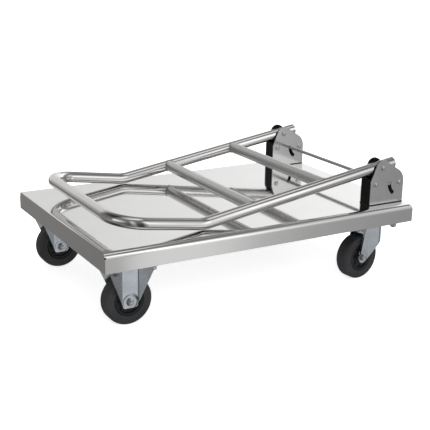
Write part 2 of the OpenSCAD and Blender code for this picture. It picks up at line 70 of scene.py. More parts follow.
deck_lo, deck_hi = box("deck_tray")
pivot = joint_at("handle_fold")
lever_pin = joint_at("release_press")
bar = centre("release_bar")
stop_pin = centre("stop_pins")
bracket_lo, bracket_hi = box("left_hinge_bracket")
hinge_y = -centre("left_hinge_bracket").y
bracket_half = (bracket_hi.y - bracket_lo.y) / 2
tail_r = (box("left_tail_plug")[1] - pivot).xz.length
SIDES = {"left": -1, "right": 1}
FLATS, HEAD, NUT_BORE = 13, 5.3, 4.05     # an M8 bolt: across flats, head height, bore of its nut


# ---- mesh making ----

class Shape:
    """Closed surfaces gathered into one mesh."""

    def __init__(self):
        self.verts, self.faces = [], []

    def add(self, verts, faces):
        base = len(self.verts)
        self.verts += [Vector(v) for v in verts]
        self.faces += [[i + base for i in f] for f in faces]
        return self

    def rings(self, rings, loop=False, caps=True):
        """Joins rings of equally many points, and closes the two ends."""
        n = len(rings[0])
        faces = []
        count = len(rings) if loop else len(rings) - 1
        for i in range(count):
            a, b = i * n, (i + 1) % len(rings) * n
            faces += [[a + k, a + (k + 1) % n, b + (k + 1) % n, b + k] for k in range(n)]
        if caps and not loop:
            faces += [list(range(n))[::-1], [(len(rings) - 1) * n + k for k in range(n)]]
        return self.add([p for r in rings for p in r], faces)

    def lathe(self, profile, at, axis, n=64):
        """Turns a closed profile of (radius, height) round an axis."""
        a = Vector(axis).normalized()
        u = a.orthogonal().normalized()
        v = a.cross(u)
        verts, index = [], []
        for r, h in profile:
            if r < 1e-6:
                index.append([len(verts)] * n)
                verts.append(at + a * h)
            else:
                index.append(list(range(len(verts), len(verts) + n)))
                verts += [at + a * h + (u * math.cos(t) + v * math.sin(t)) * r
                          for t in (2 * math.pi * k / n for k in range(n))]
        faces = []
        for p, q in zip(index, index[1:] + index[:1]):
            for k in range(n):
                f = [p[k], p[(k + 1) % n], q[(k + 1) % n], q[k]]
                f = [x for i, x in enumerate(f) if x not in f[:i]]
                if len(f) > 2:
                    faces.append(f)
        return self.add(verts, faces)

    def sweep(self, path, radius, sides=40, bore=0.0, loop=False):
        """Carries a round section, solid or hollow, along a path."""
        n = len(path)
        ring_u = None
        outer, inner = [], []
        for i, p in enumerate(path):
            before = path[i - 1] if loop or i else p
            after = path[(i + 1) % n] if loop or i < n - 1 else p
            t = (after - before).normalized()
            if ring_u is None:
                ring_u = t.cross(Vector((0.123, 0.456, 0.88))).normalized()
            ring_u = (ring_u - t * ring_u.dot(t)).normalized()
            w = t.cross(ring_u)
            r = radius[i] if isinstance(radius, list) else radius
            turn = [(math.cos(a), math.sin(a)) for a in (2 * math.pi * k / sides for k in range(sides))]
            outer.append([p + (ring_u * c + w * s) * r for c, s in turn])
            inner.append([p + (ring_u * c + w * s) * bore for c, s in turn])
        if not bore:
            return self.rings(outer, loop)
        return self.rings(outer + inner[::-1], loop=True)

    def hexagon(self, flats, height, at, axis, hole=0.0, both=False, dish=0.0, turn=0.0):
        """A hexagon head or nut with chamfered corners, standing on a point along an axis.

        A nut has a hole, a head may have a dished top, and both chamfers the underside too.
        """
        a = Vector(axis).normalized()
        u = a.orthogonal().normalized()
        v = a.cross(u)
        n, ap = 48, flats / 2
        rings = []

        def ring(rad, high):
            return [at + a * high(t) + (u * math.cos(t + turn) + v * math.sin(t + turn)) * rad(t)
                    for t in (2 * math.pi * k / n for k in range(n))]

        def hexr(t):
            return ap / math.cos((t + math.pi / 6) % (math.pi / 3) - math.pi / 6)

        def drop(t):
            return max(0.0, hexr(t) - ap * 0.97) * 0.55

        inner = hole if hole else 0.25
        if both:
            rings += [ring(lambda t: inner, lambda t: 0.35 if hole else 0.0),
                      ring(lambda t: inner + (0.5 if hole else 0.0), lambda t: 0.0),
                      ring(lambda t: ap * 0.95, lambda t: 0.0)]
            rings.append(ring(hexr, drop))
        else:
            rings += [ring(lambda t: inner, lambda t: 0.0), ring(hexr, lambda t: 0.0)]
        rings.append(ring(hexr, lambda t: height - drop(t)))
        rings.append(ring(lambda t: ap * 0.95, lambda t: height))
        if dish:
            rings.append(ring(lambda t: ap * 0.72, lambda t: height))
            rings.append(ring(lambda t: ap * 0.6, lambda t: height - dish))
        rings.append(ring(lambda t: inner + (0.5 if hole else 0.0), lambda t: height - dish))
        if hole:
            rings.append(ring(lambda t: inner, lambda t: height - 0.5))
        return self.rings(rings, loop=bool(hole)) if hole else self.rings(rings)

    def plate(self, outline, holes, thick, at, stand=False, round_by=0.3):
        """A flat plate with holes and softened edges, lying flat or standing in the XZ plane."""
        cu = bpy.data.curves.new("plate", "CURVE")
        cu.dimensions, cu.fill_mode = "2D", "BOTH"
        cu.extrude, cu.bevel_depth = (thick / 2 - round_by) * MM, round_by * MM
        cu.bevel_resolution, cu.offset = 2, -round_by * MM
        for loop in [outline] + holes:
            sp = cu.splines.new("POLY")
            sp.points.add(len(loop) - 1)
            for pt, (x, y) in zip(sp.points, loop):
                pt.co = (x * MM, y * MM, 0, 1)
            sp.use_cyclic_u = True
        ob = bpy.data.objects.new("plate", cu)
        bpy.context.scene.collection.objects.link(ob)
        bpy.context.view_layer.update()
        me = bpy.data.meshes.new_from_object(ob.evaluated_get(bpy.context.evaluated_depsgraph_get()))
        bm = bmesh.new()
        bm.from_mesh(me)
        bmesh.ops.remove_doubles(bm, verts=bm.verts, dist=2e-6)
        turn = Matrix.Rotation(math.pi / 2, 3, "X") if stand else Matrix.Identity(3)
        bm.verts.index_update()
        verts = [Vector(at) + turn @ (v.co / MM) for v in bm.verts]
        faces = [[v.index for v in f.verts] for f in bm.faces]
        bm.free()
        bpy.data.objects.remove(ob)
        bpy.data.curves.remove(cu)
        bpy.data.meshes.remove(me)
        return self.add(verts, faces)

    def skin(self, rows, thick, side=1):
        """A sheet of metal over a grid of points: thickness goes to one side of it."""
        nr, nc = len(rows), len(rows[0])
        under = []
        for i in range(nr):
            for j in range(nc):
                du = rows[min(i + 1, nr - 1)][j] - rows[max(i - 1, 0)][j]
                dv = rows[i][min(j + 1, nc - 1)] - rows[i][max(j - 1, 0)]
                nrm = du.cross(dv)
                nrm = nrm.normalized() if nrm.length > 1e-9 else Vector((0, 1, 0))
                under.append(rows[i][j] - nrm * thick * side)
        top = [p for r in rows for p in r]
        m = nr * nc
        faces = []
        for i in range(nr - 1):
            for j in range(nc - 1):
                a, b, c, d = i * nc + j, i * nc + j + 1, (i + 1) * nc + j + 1, (i + 1) * nc + j
                faces += [[a, b, c, d], [m + d, m + c, m + b, m + a]]
        edge = [j for j in range(nc)] + [i * nc + nc - 1 for i in range(1, nr)]
        edge += [(nr - 1) * nc + j for j in range(nc - 2, -1, -1)] + [i * nc for i in range(nr - 2, 0, -1)]
        for a, b in zip(edge, edge[1:] + edge[:1]):
            faces.append([a, m + a, m + b, b])
        return self.add(top + under, faces)

    def placed(self, name):
        """The shape as an object in the scene, its meeting points joined and its faces turned outwards."""
        me = bpy.data.meshes.new(name)
        me.from_pydata([v * MM for v in self.verts], [], self.faces)
        bm = bmesh.new()
        bm.from_mesh(me)
        bmesh.ops.remove_doubles(bm, verts=bm.verts, dist=1e-7)
        bmesh.ops.recalc_face_normals(bm, faces=bm.faces)
        bm.to_mesh(me)
        bm.free()
        ob = bpy.data.objects.new(name, me)
        bpy.context.scene.collection.objects.link(ob)
        return ob

    def piece(self, name, material, body, slot, nodes=(), sharp=32):
        """The finished piece: closed, smooth where it's round, riding on its CAD body."""
        ob = self.placed(name)
        finish(ob.data, material, sharp)
        flats = ob.modifiers.new("flats_stay_flat", "WEIGHTED_NORMAL")
        flats.mode, flats.weight, flats.keep_sharp = "FACE_AREA", 50, True
        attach(ob, body)
        if nodes:
            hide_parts(*nodes)
        return ob


def finish(me, material, sharp):
    me.shade_smooth()
    me.set_sharp_from_angle(angle=math.radians(sharp))
    me.materials.clear()
    me.materials.append(material)


def circle(x, y, r, n=40):
    return [(x + r * math.cos(2 * math.pi * k / n), y + r * math.sin(2 * math.pi * k / n)) for k in range(n)]


def arc(c, r, a0, a1, n):
    return [(c[0] + r * math.cos(math.radians(a0 + (a1 - a0) * k / n)),
             c[1] + r * math.sin(math.radians(a0 + (a1 - a0) * k / n))) for k in range(n + 1)]


def rounded(x0, y0, x1, y1, r, n=6):
    return (arc((x1 - r, y0 + r), r, -90, 0, n) + arc((x1 - r, y1 - r), r, 0, 90, n)
            + arc((x0 + r, y1 - r), r, 90, 180, n) + arc((x0 + r, y0 + r), r, 180, 270, n))


# ---- materials ----

def shader(name, colour, metallic, rough, **sockets):
    mat = bpy.data.materials.new(name)
    mat.use_nodes = True
    nodes, links = mat.node_tree.nodes, mat.node_tree.links
    bsdf = nodes["Principled BSDF"]
    bsdf.inputs["Base Color"].default_value = (*colour, 1)
    bsdf.inputs["Metallic"].default_value = metallic
    bsdf.inputs["Roughness"].default_value = rough
    for key, value in sockets.items():
        bsdf.inputs[key.replace("_", " ")].default_value = value
    return mat, nodes, links, bsdf


def noise(nodes, links, scale, stretch=(1, 1, 1), detail=4.0, rough=0.55):
    co = nodes.new("ShaderNodeTexCoord")
    mp = nodes.new("ShaderNodeMapping")
    mp.inputs["Scale"].default_value = stretch
    nz = nodes.new("ShaderNodeTexNoise")
    nz.inputs["Scale"].default_value = scale
    nz.inputs["Detail"].default_value = detail
    nz.inputs["Roughness"].default_value = rough
    links.new(co.outputs["Object"], mp.inputs["Vector"])
    links.new(mp.outputs["Vector"], nz.inputs["Vector"])
    return nz.outputs["Fac"]


def spread(nodes, links, value, lo, hi, low=0.3, high=0.7):
    """Maps a noise value to a range."""
    m = nodes.new("ShaderNodeMapRange")
    m.inputs["From Min"].default_value = low
    m.inputs["From Max"].default_value = high
    m.inputs["To Min"].default_value = lo
    m.inputs["To Max"].default_value = hi
    links.new(value, m.inputs["Value"])
    return m.outputs["Result"]


def mixed(nodes, links, fac, a, b):
    m = nodes.new("ShaderNodeMix")
    m.data_type = "RGBA"
    m.inputs["A"].default_value = (*a, 1)
    m.inputs["B"].default_value = (*b, 1)
    links.new(fac, m.inputs["Factor"])
    return m.outputs["Result"]


def total(nodes, links, a, b, op="ADD"):
    m = nodes.new("ShaderNodeMath")
    m.operation = op
    links.new(a, m.inputs[0])
    links.new(b, m.inputs[1])
    return m.outputs["Value"]


def bumped(nodes, links, bsdf, heights):
    """Chains bumps: (value, strength, distance in mm)."""
    last = None
    for value, strength, distance in heights:
        b = nodes.new("ShaderNodeBump")
        b.inputs["Strength"].default_value = strength
        b.inputs["Distance"].default_value = distance * MM
        links.new(value, b.inputs["Height"])
        if last:
            links.new(last, b.inputs["Normal"])
        last = b.outputs["Normal"]
    links.new(last, bsdf.inputs["Normal"])


def metal(name, colour, rough, grain=None, grain_depth=0.02, swing=0.06, cloud=0.05, mottle=0.0,
          mottle_scale=60, wave=0.0):
    """Steel with a fine grain, cloudy smears in its gloss, and a slight tone change."""
    mat, nodes, links, bsdf = shader(name, colour, 1.0, rough)
    big = noise(nodes, links, 7, detail=3)
    parts = [spread(nodes, links, big, rough - swing / 2, rough + swing / 2)]
    heights = []
    if wave:
        heights.append((noise(nodes, links, 5, detail=1), wave, 1.0))
    if grain:
        fine = noise(nodes, links, 900, stretch=grain, detail=3, rough=0.7)
        parts.append(spread(nodes, links, fine, -swing / 2, swing / 2))
        heights.append((fine, grain_depth, 0.05))
    if mottle:
        spots = noise(nodes, links, mottle_scale, detail=5, rough=0.65)
        heights.append((spots, mottle, 0.2))
        parts.append(spread(nodes, links, spots, -swing, swing))
    value = parts[0]
    for p in parts[1:]:
        value = total(nodes, links, value, p)
    low = nodes.new("ShaderNodeClamp")
    low.inputs["Min"].default_value = 0.03
    links.new(value, low.inputs["Value"])
    links.new(low.outputs["Result"], bsdf.inputs["Roughness"])
    dark = [c * (1 - cloud) for c in colour]
    tone = spread(nodes, links, noise(nodes, links, 19, detail=4), 0, 1)
    links.new(mixed(nodes, links, tone, dark, colour), bsdf.inputs["Base Color"])
    if heights:
        bumped(nodes, links, bsdf, heights)
    return mat


def plastic(name, colour, light, rough, bump=0.15, scale=900, speck=0.25, gloss=0.5):
    """Moulded plastic or rubber with a fine texture and slight wear."""
    mat, nodes, links, bsdf = shader(name, colour, 0.0, rough, Specular_IOR_Level=gloss)
    fine = noise(nodes, links, scale, detail=3)
    big = noise(nodes, links, 26, detail=5, rough=0.6)
    links.new(mixed(nodes, links, spread(nodes, links, big, 0, 1, 0.35, 0.75), colour, light),
              bsdf.inputs["Base Color"])
    links.new(total(nodes, links, spread(nodes, links, big, rough - 0.06, rough + 0.06),
                    spread(nodes, links, fine, -0.04, 0.04)), bsdf.inputs["Roughness"])
    bumped(nodes, links, bsdf, [(fine, bump, 0.1), (big, speck * 0.3, 0.2)])
    return mat


ALONG_X, ALONG_Y, ALONG_Z = (0.02, 1, 1), (1, 0.02, 1), (1, 1, 0.02)
M = {
    "deck": metal("deck_steel", (0.84, 0.835, 0.83), 0.06, ALONG_X, 0.004, 0.03, 0.03, wave=0.01),
    "underframe": metal("underframe_steel", (0.55, 0.55, 0.56), 0.34, ALONG_Y, 0.05, 0.1, 0.1),
    "bracket": metal("bracket_steel", (0.72, 0.715, 0.715), 0.17, ALONG_Z, 0.01, 0.08, 0.08),
    "handle": metal("polished_tube", (0.76, 0.75, 0.745), 0.13, ALONG_X, 0.003, 0.05, 0.05),
    "rung": metal("satin_tube", (0.74, 0.735, 0.73), 0.3, ALONG_Y, 0.01, 0.08, 0.05),
    "weld": metal("weld_bead", (0.6, 0.59, 0.58), 0.3, None, 0, 0.1, 0.15, 0.1, 500),
    "pin": metal("turned_pin", (0.7, 0.7, 0.695), 0.2, ALONG_Y, 0.004, 0.08, 0.06),
    "spring": metal("spring_wire", (0.3, 0.3, 0.31), 0.32, None, 0, 0.08, 0.1),
    "fastener": metal("zinc_bolt", (0.68, 0.7, 0.73), 0.22, None, 0, 0.1, 0.1),
    "fork": metal("zinc_plate", (0.8, 0.86, 0.92), 0.2, ALONG_Z, 0.006, 0.08, 0.12, 0.02, 45),
    "ball": metal("bearing_ball", (0.66, 0.66, 0.68), 0.12, None, 0, 0.04, 0.05),
    "sleeve": metal("drawn_sleeve", (0.5, 0.5, 0.52), 0.3, ALONG_Y, 0.01, 0.06, 0.08),
    "insert": plastic("insert_plastic", (0.002, 0.002, 0.002), (0.004, 0.004, 0.004), 0.42, gloss=0.2),
    # the pads under the brackets: rubber, near-black so that it also gives the shadow line at each bracket's foot
    # (painted shadow)
    "gasket": plastic("gasket_rubber_and_painted_shadow", (0.006, 0.006, 0.006), (0.012, 0.012, 0.012), 0.6),
    "plug": plastic("plug_plastic", (0.005, 0.005, 0.005), (0.012, 0.012, 0.012), 0.36),
    "bush": plastic("bush_plastic", (0.02, 0.02, 0.02), (0.04, 0.04, 0.04), 0.4),
    "tyre": plastic("tyre_rubber", (0.017, 0.0175, 0.019), (0.028, 0.0285, 0.031), 0.52, 0.12, 700, 0.3, gloss=0.4),
    "hub": plastic("hub_plastic", (0.006, 0.006, 0.007), (0.012, 0.012, 0.013), 0.45),
}


# ---- deck ----

def deck():
    """One folded sheet: soft folds on three edges, a tight one at the front, its front corners relieved."""
    soft, tight, sheet = 12.0, 3.0, 2.0
    relief_r, seam = 2.2, 0.22
    lo, hi = deck_lo, deck_hi

    def inset(z, r, top):
        """How far a fold has drawn in at a height."""
        d = z - (top - r)
        return 0.0 if d <= 0 else r - math.sqrt(max(r * r - d * d, 0.0))

    def levels(shift):
        top, rs, rt = hi.z - shift, soft - shift, tight - shift
        zs = [lo.z] + [top - rs + rs * math.sin(math.radians(90 * k / 16)) for k in range(17)]
        zs += [top - rt + rt * math.sin(math.radians(90 * k / 6)) for k in range(6)]
        rings = []
        for z in sorted(set(round(z, 5) for z in zs)):
            a, b = inset(z, rt, top), inset(z, rs, top)
            x0, x1 = lo.x + shift + a, hi.x - shift - b
            y = hi.y - shift - b
            rings.append([Vector((x0, -y, z)), Vector((x1, -y, z)), Vector((x1, y, z)), Vector((x0, y, z))])
        return rings

    ob = Shape().rings(levels(sheet)[::-1] + levels(0)).piece(
        "deck_sheet", M["deck"], "chassis", "deck", ["deck_tray"], sharp=30)
    cutters = []
    for y in (lo.y, hi.y):
        cut = Shape()
        c = Vector((lo.x, y, 0))
        inward = Vector((1, -math.copysign(1, y), 0)).normalized()
        across = Vector((-inward.y, inward.x, 0))
        rings = []
        for z in (lo.z - 1, hi.z - soft):
            rings.append([c + across * a + inward * b + Vector((0, 0, z))
                          for a, b in ((-seam, -1), (seam, -1), (seam, 1.1), (-seam, 1.1))])
        cut.rings(rings)
        cut.lathe([(0, -4), (relief_r, -4), (relief_r, 9), (0, 9)], c + Vector((0, 0, hi.z - 9)), inward, 24)
        co = cut.placed("cut")
        cutters.append(co)
        mod = ob.modifiers.new("relief", "BOOLEAN")
        mod.operation, mod.solver, mod.object, mod.use_self = "DIFFERENCE", "EXACT", co, True
    bpy.context.view_layer.update()
    done = bpy.data.meshes.new_from_object(ob.evaluated_get(bpy.context.evaluated_depsgraph_get()))
    for mod in [m for m in ob.modifiers if m.type == "BOOLEAN"]:
        ob.modifiers.remove(mod)
    ob.data = done
    finish(done, M["deck"], 30)
    for co in cutters:
        bpy.data.objects.remove(co)


deck()

# ---- handle ----

TUBE_R, BORE_R = 12.5, 11.0
fold = math.radians(9)
elbow, elbow_r, corner_r = math.radians(17.458), 87.0, 60.0
leg_len, loop_len = 429.3, 175.0
tail_len = math.sqrt(tail_r ** 2 - TUBE_R ** 2) - 0.8


def on_handle(x, z, y=0.0):
    """A point given along the folded leg (x towards the hinge end) and above its axis."""
    return Vector((pivot.x + x * math.cos(fold) - z * math.sin(fold), y,
                   pivot.z + x * math.sin(fold) + z * math.cos(fold)))


def on_loop(u, y):
    return on_handle(-leg_len - elbow_r * math.sin(elbow) - u * math.cos(elbow),
                     elbow_r * (1 - math.cos(elbow)) + u * math.sin(elbow), y)


def handle_path():
    half = [on_handle(tail_len - (tail_len + leg_len) * k / 40, 0, -hinge_y) for k in range(40)]
    half += [on_handle(-leg_len - elbow_r * math.sin(elbow * k / 12),
                       elbow_r * (1 - math.cos(elbow * k / 12)), -hinge_y) for k in range(13)]
    straight = loop_len - corner_r
    half += [on_loop(straight * k / 8, -hinge_y) for k in range(1, 8)]
    half += [on_loop(straight + corner_r * math.sin(a), -hinge_y + corner_r * (1 - math.cos(a)))
             for a in (math.radians(90 * k / 24) for k in range(25))]
    half += [on_loop(loop_len, (-hinge_y + corner_r) * (1 - k / 8)) for k in range(1, 8)]
    other = [Vector((p.x, -p.y, p.z)) for p in half[::-1]]
    return half + [on_loop(loop_len, 0)] + other


handle = Shape().sweep(handle_path(), TUBE_R, 56, bore=BORE_R)
handle.piece("handle_bent_tube", M["handle"], "handle", "handle", ["handle_tube"], sharp=40)


def rung(name, x):
    """A cross tube whose ends are cut to the round of the legs, with a bead of weld round each."""
    section = circle(0, 0, 1, 56)

    def cut_end(side):
        return [on_handle(x + TUBE_R * c, TUBE_R * t,
                          side * (hinge_y - math.sqrt(max(TUBE_R ** 2 - (TUBE_R * t) ** 2, 0)))) for c, t in section]

    def across(r, y):
        return [on_handle(x + r * c, r * t, y) for c, t in section]

    outer = [cut_end(-1)] + [across(TUBE_R, (hinge_y - 14) * (k / 6 - 1)) for k in range(1, 12)] + [cut_end(1)]
    inner = [across(BORE_R, y) for y in (hinge_y - 13, 13 - hinge_y)]
    Shape().rings(outer + inner, loop=True).piece(name + "_tube", M["rung"], "handle", "rung", [name], sharp=40)
    w = Shape()
    for side in (-1, 1):
        path, rad = [], []
        for k in range(120):
            a = 2 * math.pi * k / 120
            c, t = math.cos(a), math.sin(a)
            r = TUBE_R + 0.35
            y = hinge_y - math.sqrt(max(TUBE_R ** 2 - (TUBE_R * t) ** 2, 0.0)) - 0.3
            path.append(on_handle(x + r * c, r * t * 0.985, side * y))
            rad.append(1.15 + 0.28 * math.sin(30 * a) + 0.12 * math.sin(7 * a + 1))
        w.sweep(path, rad, 10, loop=True)
    w.piece(name + "_welds", M["weld"], "handle", "rung", sharp=60)


for node in ("lower_rung", "upper_rung"):
    c = centre(node) - pivot
    rung(node, c.x * math.cos(fold) + c.z * math.sin(fold))

for side, s in SIDES.items():
    along = (on_handle(1, 0) - on_handle(0, 0)).normalized()
    at = on_handle(0, 0, s * hinge_y)
    cap = [(0, tail_len - 12), (9.8, tail_len - 12), (10.9, tail_len - 10.5), (10.9, tail_len), (11.9, tail_len + 0.05),
           (12.4, tail_len + 0.5)]
    edge = math.degrees(math.asin(12.4 / tail_r))
    cap += [(tail_r * math.sin(math.radians(edge * (1 - k / 10))),
             tail_r * math.cos(math.radians(edge * (1 - k / 10)))) for k in range(1, 11)]
    Shape().lathe(cap, at, along).piece(side + "_end_plug", M["plug"], "handle", "plug",
                                         [side + "_tail_plug"], sharp=40)

# ---- hinge brackets ----


def heading(v):
    return math.degrees(math.atan2(v[1], v[0]))


def bracket_outline(bottom):
    """The bracket's side view: a round crown over the pivot and a wider shoulder beside it."""
    deck_z = deck_hi.z
    p, sh = pivot.xz, Vector((bracket_hi.x - 32, deck_z + 47))
    back = Vector((bracket_lo.x, deck_z + 54))
    a_back = heading(back - p) - math.degrees(math.acos(18 / (back - p).length)) + 360
    a_slope = heading(sh - p) + math.degrees(math.acos((18 - 32) / (sh - p).length))
    return ([(bracket_hi.x, bottom), (bracket_hi.x, deck_z + 30)] + arc(sh, 32, 0, a_slope, 24)
            + arc(p, 18, a_slope, a_back, 30) + [tuple(back), (bracket_lo.x, bottom)])


def slot_loop(w):
    """The curved slot round the lever pin."""
    r, a0, a1 = (bar - lever_pin).xz.length, 180, 230
    c = lever_pin.xz
    q0, q1 = [c + r * Vector((math.cos(math.radians(a)), math.sin(math.radians(a)))) for a in (a0, a1)]
    return (arc(c, r + w / 2, a0, a1, 12) + arc(q1, w / 2, a1, a1 + 180, 10)[1:]
            + arc(c, r - w / 2, a1, a0, 12)[1:] + arc(q0, w / 2, a0 + 180, a0 + 360, 10)[1:-1])


def bracket_holes(extra=0.0):
    return [circle(pivot.x, pivot.z, 5.05 + extra), circle(stop_pin.x, stop_pin.z, 4.55 + extra),
            circle(lever_pin.x, lever_pin.z, 4.05 + extra), slot_loop(9.0 + extra)]


base_z = bracket_lo.z
bolt_xs = (bracket_lo.x + 19.5, bracket_lo.x + 55.5)
for side, s in SIDES.items():
    y0 = s * hinge_y
    b = Shape()
    outline = bracket_outline(base_z)
    for k in (-1, 1):
        b.plate(outline, bracket_holes(), 2.0, (0, y0 + k * (bracket_half - 1.0), 0), stand=True, round_by=0.35)
    b.plate(rounded(bracket_lo.x + 5.6, y0 - bracket_half + 1.9, bracket_hi.x - 0.1, y0 + bracket_half - 1.9, 0.6),
            [circle(x, y0, 4.2) for x in bolt_xs], 2.0, (0, 0, base_z + 1.0))
    b.piece(side + "_bracket_plates", M["bracket"], "chassis", "bracket", [side + "_hinge_bracket"], sharp=28)

    lo, hi = box(side + "_hinge_insert")
    half = (hi.y - lo.y) / 2
    t = 2.3
    i = Shape()
    for k in (-1, 1):
        i.plate(bracket_outline(base_z + 2.1), bracket_holes(0.05), t, (0, y0 + k * (half - t / 2), 0), stand=True,
                round_by=0.3)
    web = [(lo.x, base_z), (lo.x + 5.4, base_z), (lo.x + 5.4, deck_hi.z + 57), (lo.x + 1.6, deck_hi.z + 59.6),
           (lo.x, deck_hi.z + 59)]
    i.plate(web, [], 2 * half, (0, y0, 0), stand=True, round_by=0.45)
    i.plate(rounded(lo.x + 4.6, y0 - half + 0.2, hi.x - 0.2, y0 + half - 0.2, 0.8),
            [circle(x, y0, 9) for x in bolt_xs], 3.0, (0, 0, base_z + 3.6))
    for k in range(4):
        z = base_z + 14 + 11 * k
        i.plate(rounded(lo.x + 5.0, y0 - half + 2.2, lo.x + 7.2, y0 + half - 2.2, 0.5), [], 1.6, (0, 0, z))
    i.piece(side + "_insert", M["insert"], "chassis", "insert", [side + "_hinge_insert"], sharp=28)

    # a thin pad under each bracket: a real rubber pad whose near-black also stands in for the shadow line at the
    # bracket's foot, a painted shadow
    lo, hi = box(side + "_gasket")
    Shape().plate(rounded(lo.x, lo.y, hi.x, hi.y, 1.2), [], hi.z - lo.z, (0, 0, (lo.z + hi.z) / 2),
                  round_by=0.35).piece(side + "_pad_and_painted_shadow", M["gasket"], "chassis", "gasket", [side + "_gasket"])


def rivet_set(name, at, shank, nodes):
    """Domed rivets through both brackets, with a turned ring and a dimple in each head."""
    s = Shape()
    out = bracket_half
    for y0 in (-hinge_y, hinge_y):
        c = Vector((at.x, y0, at.z))
        s.lathe([(0, -out), (shank, -out), (shank, out), (0, out)], c, (0, 1, 0), 40)
        head = [(0, -0.4), (6.3, -0.4), (6.3, 0.75), (6.05, 1.0), (5.2, 1.05), (4.9, 1.25)]
        head += [(4.7 * math.cos(a), 1.3 + 1.75 * math.sin(a)) for a in (math.radians(12 * k) for k in range(7))]
        head += [(0.9, 2.85), (0, 2.75)]
        for k in (-1, 1):
            s.lathe(head, c + Vector((0, k * out, 0)), (0, k, 0), 48)
    s.piece(name, M["pin"], "chassis", "pin", nodes, sharp=38)


rivet_set("pivot_rivets", pivot, 5.0, ["pivot_pins"])
rivet_set("stop_rivets", stop_pin, 4.5, ["stop_pins"])
rivet_set("lever_rivets", lever_pin, 4.0, ["lever_pins"])


def threaded(s, at, axis, r, length, n=32):
    """A bolt's end with rings for its thread."""
    prof, h = [(0, 0), (r, 0)], 0.4
    while h < length - 0.9:
        prof += [(r, h), (r - 0.45, h + 0.4), (r, h + 0.8)]
        h += 1.0
    prof += [(r, length - 0.7), (r - 0.7, length), (0, length)]
    s.lathe(prof, at, axis, n)


bolts, nuts = Shape(), Shape()
blo = box("bracket_bolts")[0]
nlo, nhi = box("bracket_nuts")
for y0 in (-hinge_y, hinge_y):
    for x in bolt_xs:
        bolts.hexagon(FLATS, HEAD, Vector((x, y0, base_z + 2)), (0, 0, 1), dish=0.5)
        threaded(bolts, Vector((x, y0, base_z + 2)), (0, 0, -1), 4, base_z + 2 - blo.z)
        nuts.hexagon(FLATS, nhi.z - nlo.z, Vector((x, y0, nlo.z)), (0, 0, 1), hole=NUT_BORE, both=True)
bolts.piece("hinge_bolts", M["fastener"], "chassis", "fastener", ["bracket_bolts"], sharp=30)
nuts.piece("hinge_nuts", M["fastener"], "chassis", "fastener", ["bracket_nuts"], sharp=30)

# ---- foot release ----

reach = box("release_bar")[1].y
Shape().lathe([(0, -reach), (3.0, -reach), (4.0, 1 - reach), (4.0, reach - 1), (3.0, reach), (0, reach)],
              Vector((bar.x, 0, bar.z)), (0, 1, 0), 40).piece(
    "foot_bar", M["pin"], "foot_release", "pin", ["release_bar"], sharp=30)
clear_r = tail_r + 0.35            # what the tails of the legs sweep, with a little room
coil_r, pitch = 5.6, 1.6           # the torsion spring's winding
for side, s in SIDES.items():
    y0 = s * hinge_y
    swept = [(x, z) for x, z in arc(pivot.xz, clear_r, -45, -73, 8)
             if bar.z - 7 < z < bar.z + 7.2 and x > bar.x + 4.2]
    outline = arc(lever_pin.xz, 7.5, -90, 90, 14)
    outline += [(pivot.x + math.sqrt(clear_r ** 2 - (pivot.z - bar.z - 7) ** 2), bar.z + 7)] + swept
    outline += [(bar.x + 4.2, bar.z + 1.0), (bar.x + 4.05, bar.z - 1.5), (bar.x, bar.z - 7)]
    Shape().plate(outline, [circle(lever_pin.x, lever_pin.z, 4.05)], 6.0, (0, y0, 0), stand=True,
                  round_by=0.3).piece(side + "_lever_plate", M["pin"], "foot_release", "pin",
                                      [side + "_latch_lever"], sharp=28)
    y1 = y0 + 4.4
    coil = [Vector((lever_pin.x + coil_r, y1, base_z + 6.2))]
    for k in range(180 + 1):
        a = 2 * math.pi * k / 48
        coil.append(Vector((lever_pin.x + coil_r * math.cos(a), y1 + pitch * a / (2 * math.pi),
                            lever_pin.z + coil_r * math.sin(a))))
    coil.append(Vector((bar.x - 3, y1 + pitch * 3.75, lever_pin.z - coil_r)))
    Shape().sweep(coil, 0.7, 12).piece(side + "_spring_coil", M["spring"], "foot_release", "spring",
                                       [side + "_latch_spring"], sharp=60)

# ---- casters ----

AXLE_Y, LEG_T = 21.0, 2.6          # outer face of a fork's leg from the wheel's middle, and its thickness
PITCH = 40.0                       # half the caster plates' hole pattern
TOP_PLATE = 3.0


